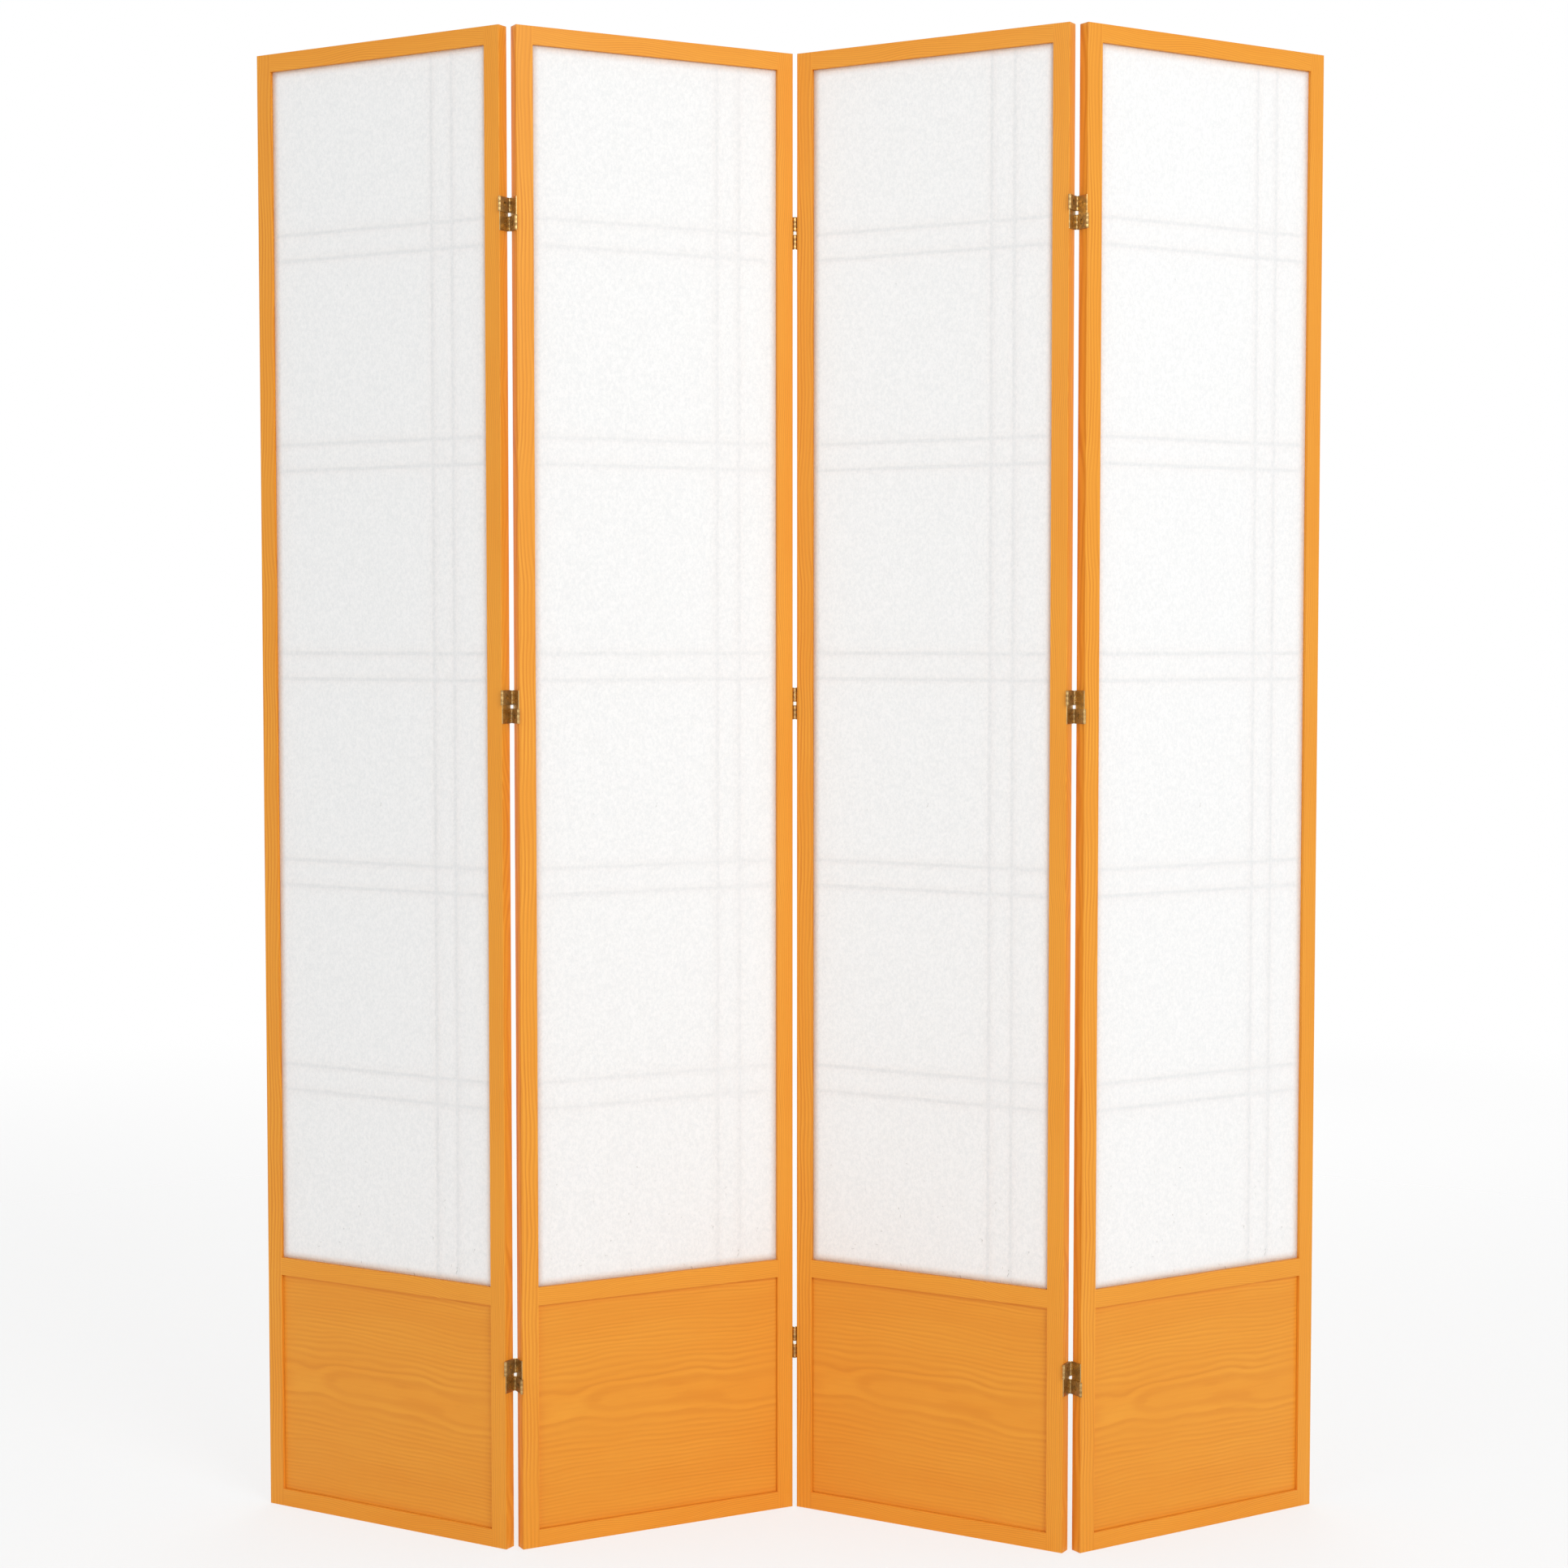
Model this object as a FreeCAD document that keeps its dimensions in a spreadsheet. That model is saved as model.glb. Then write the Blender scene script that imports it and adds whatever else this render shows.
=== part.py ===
"""Four-panel folding screen with a paper-covered lattice, standing in a zigzag.

The side that shows the paper, the back, looks towards -Y, and the lattice side, the front, towards +Y.
Everything is in millimetres. Each panel is made in its own frame: X along the panel from its left edge as
seen from the back, Y from the back face into the panel, Z up from the floor. The panels hang together
by two-way hinges, whose leaves lie on the end faces of the stiles. A hinge has an axis just outside each
face of the panels. Lines 1-2 and 3-4 are folded about the front axis, line 2-3 about the back axis.
"""
import FreeCAD
import Part
import Sketcher
import os
import re

V = FreeCAD.Vector
Z_AXIS = V(0, 0, 1)

# ------------------------------------------------------------------ driving dimensions
SIZES = [
    # panel and frame
    ("panel_height", 2134, "height of the stiles"),
    ("panel_width", 431.5, "width over both stiles"),
    ("frame_thickness", 19.1, "depth of stiles and rails"),
    ("stile_width", 25, "width of a stile on the back face"),
    ("top_rail_height", 25, "height of the top rail on the back face"),
    ("middle_rail_height", 25.5, "height of the middle rail on the back face"),
    ("bottom_rail_height", 25, "height of the bottom rail on the back face"),
    ("middle_rail_bottom", 347, "underside of the middle rail above the floor"),
    ("lip_width", 4, "width of the rebate's lip around each opening"),
    ("edge_round", 0.9, "rounding of the stiles' long outer edges"),
    # what fills the openings
    ("paper_recess", 5, "paper behind the back face"),
    ("paper_thickness", 0.25, "thickness of the paper"),
    ("paper_margin", 0.2, "paper short of the rebate's walls"),
    ("kickboard_recess", 5, "kickboard behind the back face"),
    ("kickboard_thickness", 3.2, "thickness of the kickboard"),
    ("kickboard_margin", 0.3, "kickboard short of the rebate's walls"),
    # lattice
    ("bar_width", 5, "width of a lattice bar"),
    ("bar_depth", 9, "depth of a lattice bar"),
    ("row_height", 302.4, "spacing of the pairs of horizontal bars"),
    ("middle_row", 1249, "centre of the middle pair above the floor"),
    ("row_pair_spacing", 37.4, "spacing of the two bars of a horizontal pair"),
    ("column_centre", 102.8, "centre of the vertical pair from the panel's right edge"),
    ("column_pair_spacing", 35.4, "spacing of the two vertical bars"),
    ("lap_clearance", 0.05, "play in the lattice's half-laps"),
    # dowels
    ("dowel_radius", 4, "radius of a dowel"),
    ("dowel_length", 32, "length of a dowel"),
    ("dowel_clearance", 0.05, "radial play of a dowel in its hole"),
    # hinges
    ("top_hinge_drop", 257.5, "centre of the top hinge below the panels' top"),
    ("middle_hinge", 1193.8, "centre of the middle hinge above the floor"),
    ("bottom_hinge", 247, "centre of the bottom hinge above the floor"),
    ("edge_gap", 4.2, "gap between two panels that stand flat in line"),
    ("axis_offset", 2.1, "hinge axes outside the panels' faces"),
    ("leaf_height", 46.8, "height of a hinge leaf"),
    ("barrel_height", 46, "height over both barrels"),
    ("window_height", 5, "gap between the upper and the lower barrel"),
    ("plate_thickness", 1.2, "thickness of leaves and links"),
    ("knuckle_play", 0.15, "gap between neighbouring knuckles"),
    ("knuckle_clearance", 0.3, "gap between a knuckle and a plate that it passes"),
    ("knuckle_web", 3.4, "overlap of a knuckle's strap with its plate"),
    ("pin_radius", 1, "radius of a hinge pin"),
    ("pin_clearance", 0.05, "radial play of a pin in its bore"),
    ("screw_height", 13, "screws above and below a hinge's centre"),
    ("screw_radius", 1.4, "radius of a screw's shank"),
    ("screw_head_radius", 2.7, "radius of a screw's countersunk head"),
    ("screw_length", 15, "length of a screw with its head"),
    ("screw_point", 3, "length of a screw's pointed end"),
    ("screw_clearance", 0.05, "play of a screw in its hole"),
    ("driver_clearance", 0.8, "a link's driver hole wider than the screw head, all round"),
    ("drive_width", 0.7, "width of the screws' cross recess"),
    ("drive_length", 2.8, "length of the screws' cross recess"),
    ("drive_depth", 0.7, "depth of the screws' cross recess"),
    # how the screen stands, in degrees
    ("heading", 27.65, "turn of panel 2 from the X axis"),
    ("fold_angle_left", 57.8, "turn between panels 1 and 2 from flat"),
    ("fold_angle_middle", 57.7, "turn between panels 2 and 3 from flat"),
    ("fold_angle_right", 61.9, "turn between panels 3 and 4 from flat"),
]

ROWS = 5                    # pairs of horizontal lattice bars
KNUCKLES = 7                # knuckles in one barrel, link and leaf by turns, those at its ends half as long
PANELS = ("panel_1", "panel_2", "panel_3", "panel_4")
FRONT, BACK = "front", "back"

doc = FreeCAD.newDocument("folding_screen")
sheet = doc.addObject("Spreadsheet::Sheet", "Sizes")
for line, (alias, number, note) in enumerate(SIZES, start=1):
    sheet.set("A%d" % line, alias)
    sheet.set("B%d" % line, str(number))
    sheet.set("C%d" % line, note)
    sheet.setAlias("B%d" % line, alias)
doc.recompute()


def size(alias):
    """The number that the sheet holds under a name."""
    return float(sheet.get(alias))


ALIASES = re.compile(r"\b(%s)\b" % "|".join(alias for alias, number, note in SIZES))


def bind(thing, **formulas):
    """Tie properties to formulas in the sheet's names; x, y and z stand for the place."""
    for name, formula in formulas.items():
        prop = "Placement.Base." + name if name in ("x", "y", "z") else name
        thing.setExpression(prop, ALIASES.sub(r"Sizes.\1", str(formula)))
    return thing


# ------------------------------------------------------------------ small builders
def box(name, span_x, span_y, span_z):
    """A block given by the formulas of its two ends along each axis."""
    block = doc.addObject("Part::Box", name)
    ends = dict(zip(("Length", "Width", "Height"), (span_x, span_y, span_z)))
    bind(block, **{side: "(%s) - (%s)" % (high, low) for side, (low, high) in ends.items()})
    return bind(block, x=span_x[0], y=span_y[0], z=span_z[0])


def rod(name, radius, length, x, y, z, axis=Z_AXIS):
    """A cylinder from a point along an axis."""
    cylinder = doc.addObject("Part::Cylinder", name)
    cylinder.Placement.Rotation = FreeCAD.Rotation(Z_AXIS, axis)
    bind(cylinder, Radius=radius, Height=length)
    return bind(cylinder, x=x, y=y, z=z)


def cone(name, radius, far_radius, length, x, y, z, axis):
    """A cone from a point along an axis."""
    taper = doc.addObject("Part::Cone", name)
    taper.Placement.Rotation = FreeCAD.Rotation(Z_AXIS, axis)
    bind(taper, Radius1=radius, Radius2=far_radius, Height=length)
    return bind(taper, x=x, y=y, z=z)


def fuse(name, shapes):
    joined = doc.addObject("Part::MultiFuse", name)
    joined.Shapes = shapes
    return joined


def group(name, shapes):
    gathered = doc.addObject("Part::Compound", name)
    gathered.Links = shapes
    return gathered


def cut(name, base, tools):
    """Take a set of tools that don't touch each other away from a base."""
    cut_out = doc.addObject("Part::Cut", name)
    cut_out.Base = base
    cut_out.Tool = group(name + "_tools", tools)
    return cut_out


def copy_of(name, master, place):
    """A linked copy of a piece at a place of its own."""
    link = doc.addObject("App::Link", name)
    link.LinkedObject = master
    link.LinkTransform = False
    link.Placement = place
    return link


NODES = []                  # (finished sub-part, the panel that it rides on)


def node(piece, label, panel):
    """Register a finished sub-part under its label."""
    piece.Label = label
    NODES.append((piece, panel))
    return piece


# ------------------------------------------------------------------ levels shared by several pieces
PAPER_SEAT = "paper_recess + paper_thickness"
KICKBOARD_SEAT = "kickboard_recess + kickboard_thickness"
MIDDLE_RAIL_TOP = "middle_rail_bottom + middle_rail_height"
TOP_RAIL_BOTTOM = "panel_height - top_rail_height"
RIGHT_STILE = "panel_width - stile_width"
FRAME_DEPTH = ("0", "frame_thickness")
BEHIND_PAPER = (PAPER_SEAT, "frame_thickness")
BEFORE_PAPER = ("0", PAPER_SEAT)
INSIDE_LIPS = ("stile_width + lip_width", RIGHT_STILE + " - lip_width")
BETWEEN_STILES = ("stile_width", RIGHT_STILE)
HINGE_LEVELS = ("panel_height - top_hinge_drop", "middle_hinge", "bottom_hinge")

# height of the dowels in each rail, at the middle of the rail with its lips
DOWEL_LEVELS = {
    "top": "panel_height - (top_rail_height + lip_width) / 2",
    "middle": "middle_rail_bottom + middle_rail_height / 2",
    "bottom": "(bottom_rail_height + lip_width) / 2",
}
DOWEL_DEPTH = "(%s + frame_thickness) / 2" % PAPER_SEAT


def dowel_start(side):
    """X of a dowel's left end: it crosses the shoulder inside the lip by half its length."""
    shoulder = INSIDE_LIPS[0] if side == "left" else INSIDE_LIPS[1]
    return "%s - dowel_length / 2" % shoulder


def dowel_holes(name, sides, rails):
    return [rod("%s_dowel_hole_%s_%s" % (name, side, rail), "dowel_radius + dowel_clearance",
                "dowel_length + 2 * dowel_clearance", dowel_start(side) + " - dowel_clearance",
                DOWEL_DEPTH, DOWEL_LEVELS[rail], V(1, 0, 0))
            for side in sides for rail in rails]


def kickboard_rebate(name):
    """The room in front of the lips that the kickboard lies in."""
    return box(name + "_kickboard_rebate", BETWEEN_STILES, ("0", KICKBOARD_SEAT),
               ("bottom_rail_height", "middle_rail_bottom"))


# ------------------------------------------------------------------ frame
def screw_holes(name, side):
    """Pilot holes for the hinge screws in a stile's end face."""
    left = side == "left"
    start = "0" if left else "panel_width"
    depth = "screw_length - plate_thickness + screw_clearance"
    return [rod("%s_pilot_%d%s" % (name, level, half), "screw_radius + screw_clearance", depth, start,
                "frame_thickness / 2", "%s %s screw_height" % (height, sign), V(1 if left else -1, 0, 0))
            for level, height in enumerate(HINGE_LEVELS) for half, sign in (("a", "+"), ("b", "-"))]


def make_stile(panel, side):
    """A full-height stile with its lip, rounded outer edges, dowel holes and pilot holes."""
    name = "%s_stile_%s" % (panel, side)
    left = side == "left"
    whole = ("0", INSIDE_LIPS[0]) if left else (INSIDE_LIPS[1], "panel_width")
    blank = box(name + "_blank", whole, FRAME_DEPTH, ("0", "panel_height"))
    doc.recompute()
    rounded = doc.addObject("Part::Fillet", name + "_rounded")
    rounded.Base = blank
    middle_x = blank.Shape.CenterOfMass.x
    rounded.Edges = [(index, size("edge_round"), size("edge_round"))
                     for index, edge in enumerate(blank.Shape.Edges, start=1)
                     if edge.BoundBox.ZLength > edge.BoundBox.XLength + edge.BoundBox.YLength
                     and (edge.CenterOfMass.x < middle_x) == left]
    rebate = box(name + "_rebate", BETWEEN_STILES, BEFORE_PAPER, ("0", "panel_height"))
    seat = box(name + "_kickboard_seat", BETWEEN_STILES, (PAPER_SEAT, KICKBOARD_SEAT),
               ("bottom_rail_height", "middle_rail_bottom"))
    tools = [fuse(name + "_rebates", [rebate, seat])] + dowel_holes(name, [side], DOWEL_LEVELS)
    hinged = panel != (PANELS[0] if left else PANELS[-1])
    if hinged:
        tools += screw_holes(name, side)
    node(cut(name, rounded, tools), name, panel)


def make_rail(panel, rail, low, high, lip_below, lip_above):
    """A rail: the back layer meets the stiles' faces and the front layer meets their lips."""
    name = "%s_%s_rail" % (panel, rail)
    back_layer = box(name + "_back_layer", BETWEEN_STILES, BEFORE_PAPER, (low, high))
    lips_low = "%s - %s" % (low, "lip_width" if lip_below else "0")
    lips_high = "%s + %s" % (high, "lip_width" if lip_above else "0")
    front_layer = box(name + "_front_layer", INSIDE_LIPS, BEHIND_PAPER, (lips_low, lips_high))
    bar = fuse(name + "_bar", [back_layer, front_layer])
    tools = dowel_holes(name, ("left", "right"), [rail])
    if rail != "top":
        tools.append(kickboard_rebate(name))
    node(cut(name, bar, tools), name, panel)


def make_dowels(panel):
    name = panel + "_dowels"
    node(group(name, [rod("%s_%s_%s" % (name, side, rail), "dowel_radius", "dowel_length",
                          dowel_start(side), DOWEL_DEPTH, DOWEL_LEVELS[rail], V(1, 0, 0))
                      for side in ("left", "right") for rail in DOWEL_LEVELS]), name, panel)


# ------------------------------------------------------------------ kickboard, paper and lattice
def make_board(panel, name, start_x, start_z, width, height, recess, thickness):
    """A flat sheet drawn as a rectangle on the back plane and padded into the panel."""
    body = doc.addObject("PartDesign::Body", name)
    sketch = body.newObject("Sketcher::SketchObject", name + "_outline")
    plane = [item for item in body.Origin.OriginFeatures if item.Role == "XZ_Plane"][0]
    sketch.AttachmentSupport = [(plane, "")]
    sketch.MapMode = "FlatFace"
    corners = [V(0, 0, 0), V(1, 0, 0), V(1, 1, 0), V(0, 1, 0)]
    sides = [Part.LineSegment(corners[k], corners[(k + 1) % 4]) for k in range(4)]
    sketch.addGeometry(sides, False)
    for k in range(4):
        sketch.addConstraint(Sketcher.Constraint("Coincident", k, 2, (k + 1) % 4, 1))
    for k, direction in enumerate(("Horizontal", "Vertical", "Horizontal", "Vertical")):
        sketch.addConstraint(Sketcher.Constraint(direction, k))
    for label, constraint in (("width", ("DistanceX", 0, 1, 0, 2, 1)),
                              ("height", ("DistanceY", 1, 1, 1, 2, 1)),
                              ("start_x", ("DistanceX", -1, 1, 0, 1, 1)),
                              ("start_z", ("DistanceY", -1, 1, 0, 1, 1))):
        index = sketch.addConstraint(Sketcher.Constraint(*constraint))
        sketch.renameConstraint(index, label)
    bind(sketch, **{"Constraints.width": width, "Constraints.height": height,
                    "Constraints.start_x": start_x, "Constraints.start_z": start_z})
    bind(sketch, **{"AttachmentOffset.Base.z": "-(%s)" % recess})
    pad = body.newObject("PartDesign::Pad", name + "_pad")
    pad.Profile = sketch
    pad.Reversed = True
    bind(pad, Length=thickness)
    body.Tip = pad
    node(body, name, panel)


def make_kickboard(panel):
    make_board(panel, panel + "_kickboard",
               "stile_width + kickboard_margin", "bottom_rail_height + kickboard_margin",
               "panel_width - 2 * stile_width - 2 * kickboard_margin",
               "middle_rail_bottom - bottom_rail_height - 2 * kickboard_margin",
               "kickboard_recess", "kickboard_thickness")


def make_paper(panel):
    make_board(panel, panel + "_paper",
               "stile_width + paper_margin", MIDDLE_RAIL_TOP + " + paper_margin",
               "panel_width - 2 * stile_width - 2 * paper_margin",
               "%s - (%s) - 2 * paper_margin" % (TOP_RAIL_BOTTOM, MIDDLE_RAIL_TOP),
               "paper_recess", "paper_thickness")


def across(centre, width="bar_width"):
    """The two ends of a width about its centre."""
    return ("%s - (%s) / 2" % (centre, width), "%s + (%s) / 2" % (centre, width))


ROW_CENTRES = ["middle_row + (%d) * row_height + (%d) * row_pair_spacing / 2" % (row - ROWS // 2, half)
               for row in range(ROWS) for half in (-1, 1)]
COLUMN_CENTRES = ["panel_width - column_centre + (%d) * column_pair_spacing / 2" % half
                  for half in (-1, 1)]
BAR_DEPTH = (PAPER_SEAT, PAPER_SEAT + " + bar_depth")
HALF_DEPTH = PAPER_SEAT + " + bar_depth / 2"
LATTICE_HEIGHT = (MIDDLE_RAIL_TOP + " + lip_width", TOP_RAIL_BOTTOM + " - lip_width")
LAP_WIDTH = "bar_width + 2 * lap_clearance"


def make_lattice(panel):
    """Horizontal and vertical bars, halved into each other where they cross."""
    name = panel + "_lattice_horizontals"
    bars = group(name + "_bars", [box("%s_bar_%d" % (name, k), INSIDE_LIPS, BAR_DEPTH, across(centre))
                                  for k, centre in enumerate(ROW_CENTRES)])
    laps = [box("%s_laps_%d" % (name, k), across(centre, LAP_WIDTH), (HALF_DEPTH, BAR_DEPTH[1]),
                LATTICE_HEIGHT) for k, centre in enumerate(COLUMN_CENTRES)]
    node(cut(name, bars, laps), name, panel)

    name = panel + "_lattice_verticals"
    bars = group(name + "_bars", [box("%s_bar_%d" % (name, k), across(centre), BAR_DEPTH,
                                      LATTICE_HEIGHT) for k, centre in enumerate(COLUMN_CENTRES)])
    laps = [box("%s_laps_%d" % (name, k), INSIDE_LIPS, (BAR_DEPTH[0], HALF_DEPTH),
                across(centre, LAP_WIDTH)) for k, centre in enumerate(ROW_CENTRES)]
    node(cut(name, bars, laps), name, panel)


# ------------------------------------------------------------------ two-way hinge
# The hinge is made about its own middle: X across the gap, Y from the panels' back face to their front,
# Z up. In the upper half the leaf's knuckles are on the back axis, in the lower half on the front axis.
AXIS_DEPTHS = {BACK: "-axis_offset", FRONT: "frame_thickness + axis_offset"}
KNUCKLE_RADIUS = "edge_gap / 2"
BARREL_LENGTH = "(barrel_height - window_height) / 2"
KNUCKLE_PITCH = "(%s) / %d" % (BARREL_LENGTH, KNUCKLES - 1)
WEB_DEPTHS = {BACK: ("-axis_offset", "-axis_offset + knuckle_web"),
              FRONT: ("frame_thickness + axis_offset - knuckle_web", "frame_thickness + axis_offset")}


def knuckle_end(k):
    """The height in the upper barrel at which its k-th knuckle from the outer end begins."""
    pitches = min(max(k - 0.5, 0), KNUCKLES - 1)
    return "barrel_height / 2 - %g * %s" % (pitches, KNUCKLE_PITCH)


def knuckle_levels(half, first):
    """The heights of every second knuckle of a barrel, counted from its outer end."""
    levels = []
    for k in range(first, KNUCKLES, 2):
        outer = knuckle_end(k) + " - knuckle_play / 2"
        inner = knuckle_end(k + 1) + " + knuckle_play / 2"
        levels.append((inner, outer) if half == "upper" else ("-(%s)" % outer, "-(%s)" % inner))
    return levels


def knuckles(name, half, axis, first, strap_x):
    """Rolled knuckles on one axis, each with the strap that joins it to its plate."""
    pieces = []
    for k, (low, high) in enumerate(knuckle_levels(half, first)):
        tag = "%s_%s_%s_%d" % (name, half, axis, k)
        pieces.append(rod(tag + "_knuckle", KNUCKLE_RADIUS, "(%s) - (%s)" % (high, low), "0",
                          AXIS_DEPTHS[axis], low))
        pieces.append(box(tag + "_strap", strap_x, WEB_DEPTHS[axis], (low, high)))
    return pieces


def axis_rods(name, radius):
    """A rod along each axis, longer than the hinge: the room for a barrel or a pin."""
    return [rod("%s_%s" % (name, axis), radius, "2 * leaf_height", "0", AXIS_DEPTHS[axis], "-leaf_height")
            for axis in (BACK, FRONT)]


def plate_with_knuckles(name, plate_x, plate_z, knuckle_sets):
    """A plate cleared of both barrels, with its own knuckles added and bored for the pins."""
    plate = box(name + "_plate", plate_x, FRAME_DEPTH, plate_z)
    cleared = cut(name + "_cleared", plate, axis_rods(name + "_room", KNUCKLE_RADIUS + " + knuckle_clearance"))
    rolled = fuse(name + "_rolled", [cleared] + [piece for knuckle_set in knuckle_sets
                                                 for piece in knuckles(name, *knuckle_set, plate_x)])
    return cut(name + "_bored", rolled, axis_rods(name + "_bore", "pin_radius + pin_clearance"))


def make_leaf():
    """The leaf on the left panel's end face, with two countersunk screw holes."""
    leaf_x = ("-edge_gap / 2", "-edge_gap / 2 + plate_thickness")
    bored = plate_with_knuckles("leaf", leaf_x, ("-leaf_height / 2", "leaf_height / 2"),
                                [("upper", BACK, 1), ("lower", FRONT, 1)])
    sinks = [cone("leaf_sink_%s" % half, "screw_radius + screw_clearance",
                  "screw_head_radius + screw_clearance", "plate_thickness", leaf_x[0],
                  "frame_thickness / 2", "%sscrew_height" % sign, V(1, 0, 0))
             for half, sign in (("upper", ""), ("lower", "-"))]
    return cut("leaf", bored, sinks)


def make_link():
    """The upper link: one plate in the middle of the gap, with knuckles on both axes and a driver hole."""
    link_x = ("-plate_thickness / 2", "plate_thickness / 2")
    bored = plate_with_knuckles("link", link_x, ("window_height / 2", "barrel_height / 2"),
                                [("upper", BACK, 0), ("upper", FRONT, 0)])
    hole = rod("link_driver_hole", "screw_head_radius + driver_clearance", "plate_thickness", link_x[0],
               "frame_thickness / 2", "screw_height", V(1, 0, 0))
    return cut("link", bored, [hole])


def make_screw():
    """A countersunk screw along -X with its head at X = 0 and a cross recess in it."""
    into = V(-1, 0, 0)
    head = cone("screw_head", "screw_head_radius", "screw_radius", "plate_thickness", "0", "0", "0", into)
    shank = rod("screw_shank", "screw_radius", "screw_length - plate_thickness - screw_point",
                "-plate_thickness", "0", "0", into)
    point = cone("screw_point_end", "screw_radius", "screw_radius / 8", "screw_point",
                 "-screw_length + screw_point", "0", "0", into)
    slots = [box("screw_slot_%d" % k, ("-drive_depth", "drive_depth"),
                 across("0", "drive_length" if k else "drive_width"),
                 across("0", "drive_width" if k else "drive_length")) for k in (0, 1)]
    return cut("screw", fuse("screw_blank", [head, shank, point]), [fuse("screw_recess", slots)])


def make_pin():
    """A pin as long as its barrel, standing on the origin."""
    return rod("pin", "pin_radius", BARREL_LENGTH, "0", "0", "0")


LEAF, LINK, SCREW, PIN = make_leaf(), make_link(), make_screw(), make_pin()


def hinge_frames(side):
    """Places of the three hinges' middles in the frame of the panel to their left or right."""
    gap = size("edge_gap") / 2
    x = size("panel_width") + gap if side == "left" else -gap
    levels = (size("panel_height") - size("top_hinge_drop"), size("middle_hinge"), size("bottom_hinge"))
    return [FreeCAD.Placement(V(x, 0, z), FreeCAD.Rotation()) for z in levels]


def half_turn(axis):
    """A half turn about the hinge's middle."""
    return FreeCAD.Placement(V(), FreeCAD.Rotation(axis, 180), V(0, size("frame_thickness") / 2, 0))


UPRIGHT = FreeCAD.Placement()
TURNED = half_turn(Z_AXIS)            # swaps left and right, back and front
FLIPPED = half_turn(V(0, 1, 0))       # swaps upper and lower, left and right


def hinge_group(label, master, panel, side, places):
    """One node: copies of a hinge piece at all three hinges of a line."""
    copies = [copy_of("%s_%d_%d" % (label, k, n), master, frame.multiply(place))
              for k, frame in enumerate(hinge_frames(side)) for n, place in enumerate(places)]
    return copies if label.endswith("_part") else node(group(label, copies), label, panel)


def pin_places(turned):
    """A leaf holds the pin of the back axis above and of the front axis below; turned, the reverse."""
    back = -size("axis_offset")
    front = size("frame_thickness") + size("axis_offset")
    above, below = (front, back) if turned else (back, front)
    return [FreeCAD.Placement(V(0, above, size("window_height") / 2), FreeCAD.Rotation()),
            FreeCAD.Placement(V(0, below, -size("barrel_height") / 2), FreeCAD.Rotation())]


def screw_places(turned):
    """Two screws through the leaf, heads towards the gap."""
    face = -size("edge_gap") / 2 + size("plate_thickness")
    places = [FreeCAD.Placement(V(face, size("frame_thickness") / 2, side * size("screw_height")),
                                FreeCAD.Rotation()) for side in (1, -1)]
    return [TURNED.multiply(place) for place in places] if turned else places


# each line: its left panel, its right panel, the axis in use and the sheet's name for its fold
LINES = {
    "hinge_1_2": ("panel_1", "panel_2", FRONT, "fold_angle_left"),
    "hinge_2_3": ("panel_2", "panel_3", BACK, "fold_angle_middle"),
    "hinge_3_4": ("panel_3", "panel_4", FRONT, "fold_angle_right"),
}


def make_hinge_line(line):
    """Leaves and links of one line. The upper links hold still on the left panel when the fold is about
    the front axis and on the right panel when it is about the back axis; the lower links the reverse."""
    left, right, axis, fold = LINES[line]
    hinge_group(line + "_leaves_left", LEAF, left, "left", [UPRIGHT])
    hinge_group(line + "_leaves_right", LEAF, right, "right", [TURNED])
    sides = {left: "left", right: "right"}
    upper, lower = (left, right) if axis == FRONT else (right, left)
    hinge_group(line + "_links_upper", LINK, upper, sides[upper], [UPRIGHT])
    hinge_group(line + "_links_lower", LINK, lower, sides[lower], [FLIPPED])


def make_fittings(panel):
    """The pins and the screws that belong to a panel's own leaves, at one or both of its edges."""
    for kind, master, places in (("pins", PIN, pin_places), ("screws", SCREW, screw_places)):
        copies = []
        for left, right, axis, fold in LINES.values():
            if panel == left:
                copies += hinge_group("%s_%s_left_part" % (panel, kind), master, panel, "left", places(False))
            if panel == right:
                copies += hinge_group("%s_%s_right_part" % (panel, kind), master, panel, "right", places(True))
        label = "%s_hinge_%s" % (panel, kind)
        node(group(label, copies), label, panel)


# ------------------------------------------------------------------ the whole screen
for panel in PANELS:
    make_stile(panel, "left")
    make_stile(panel, "right")
    make_rail(panel, "top", TOP_RAIL_BOTTOM, "panel_height", True, False)
    make_rail(panel, "middle", "middle_rail_bottom", MIDDLE_RAIL_TOP, True, True)
    make_rail(panel, "bottom", "0", "bottom_rail_height", False, True)
    make_dowels(panel)
    make_kickboard(panel)
    make_paper(panel)
    make_lattice(panel)
    make_fittings(panel)
for line in LINES:
    make_hinge_line(line)


def turn_about(axis_place, degrees):
    """A turn about a vertical line through a point of the plan."""
    return FreeCAD.Placement(V(), FreeCAD.Rotation(Z_AXIS, degrees), axis_place)


def axis_point(line):
    """The axis that a line folds about, in the frame of its left panel."""
    front = LINES[line][2] == FRONT
    depth = size("frame_thickness") + size("axis_offset") if front else -size("axis_offset")
    return V(size("panel_width") + size("edge_gap") / 2, depth, 0)


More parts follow.
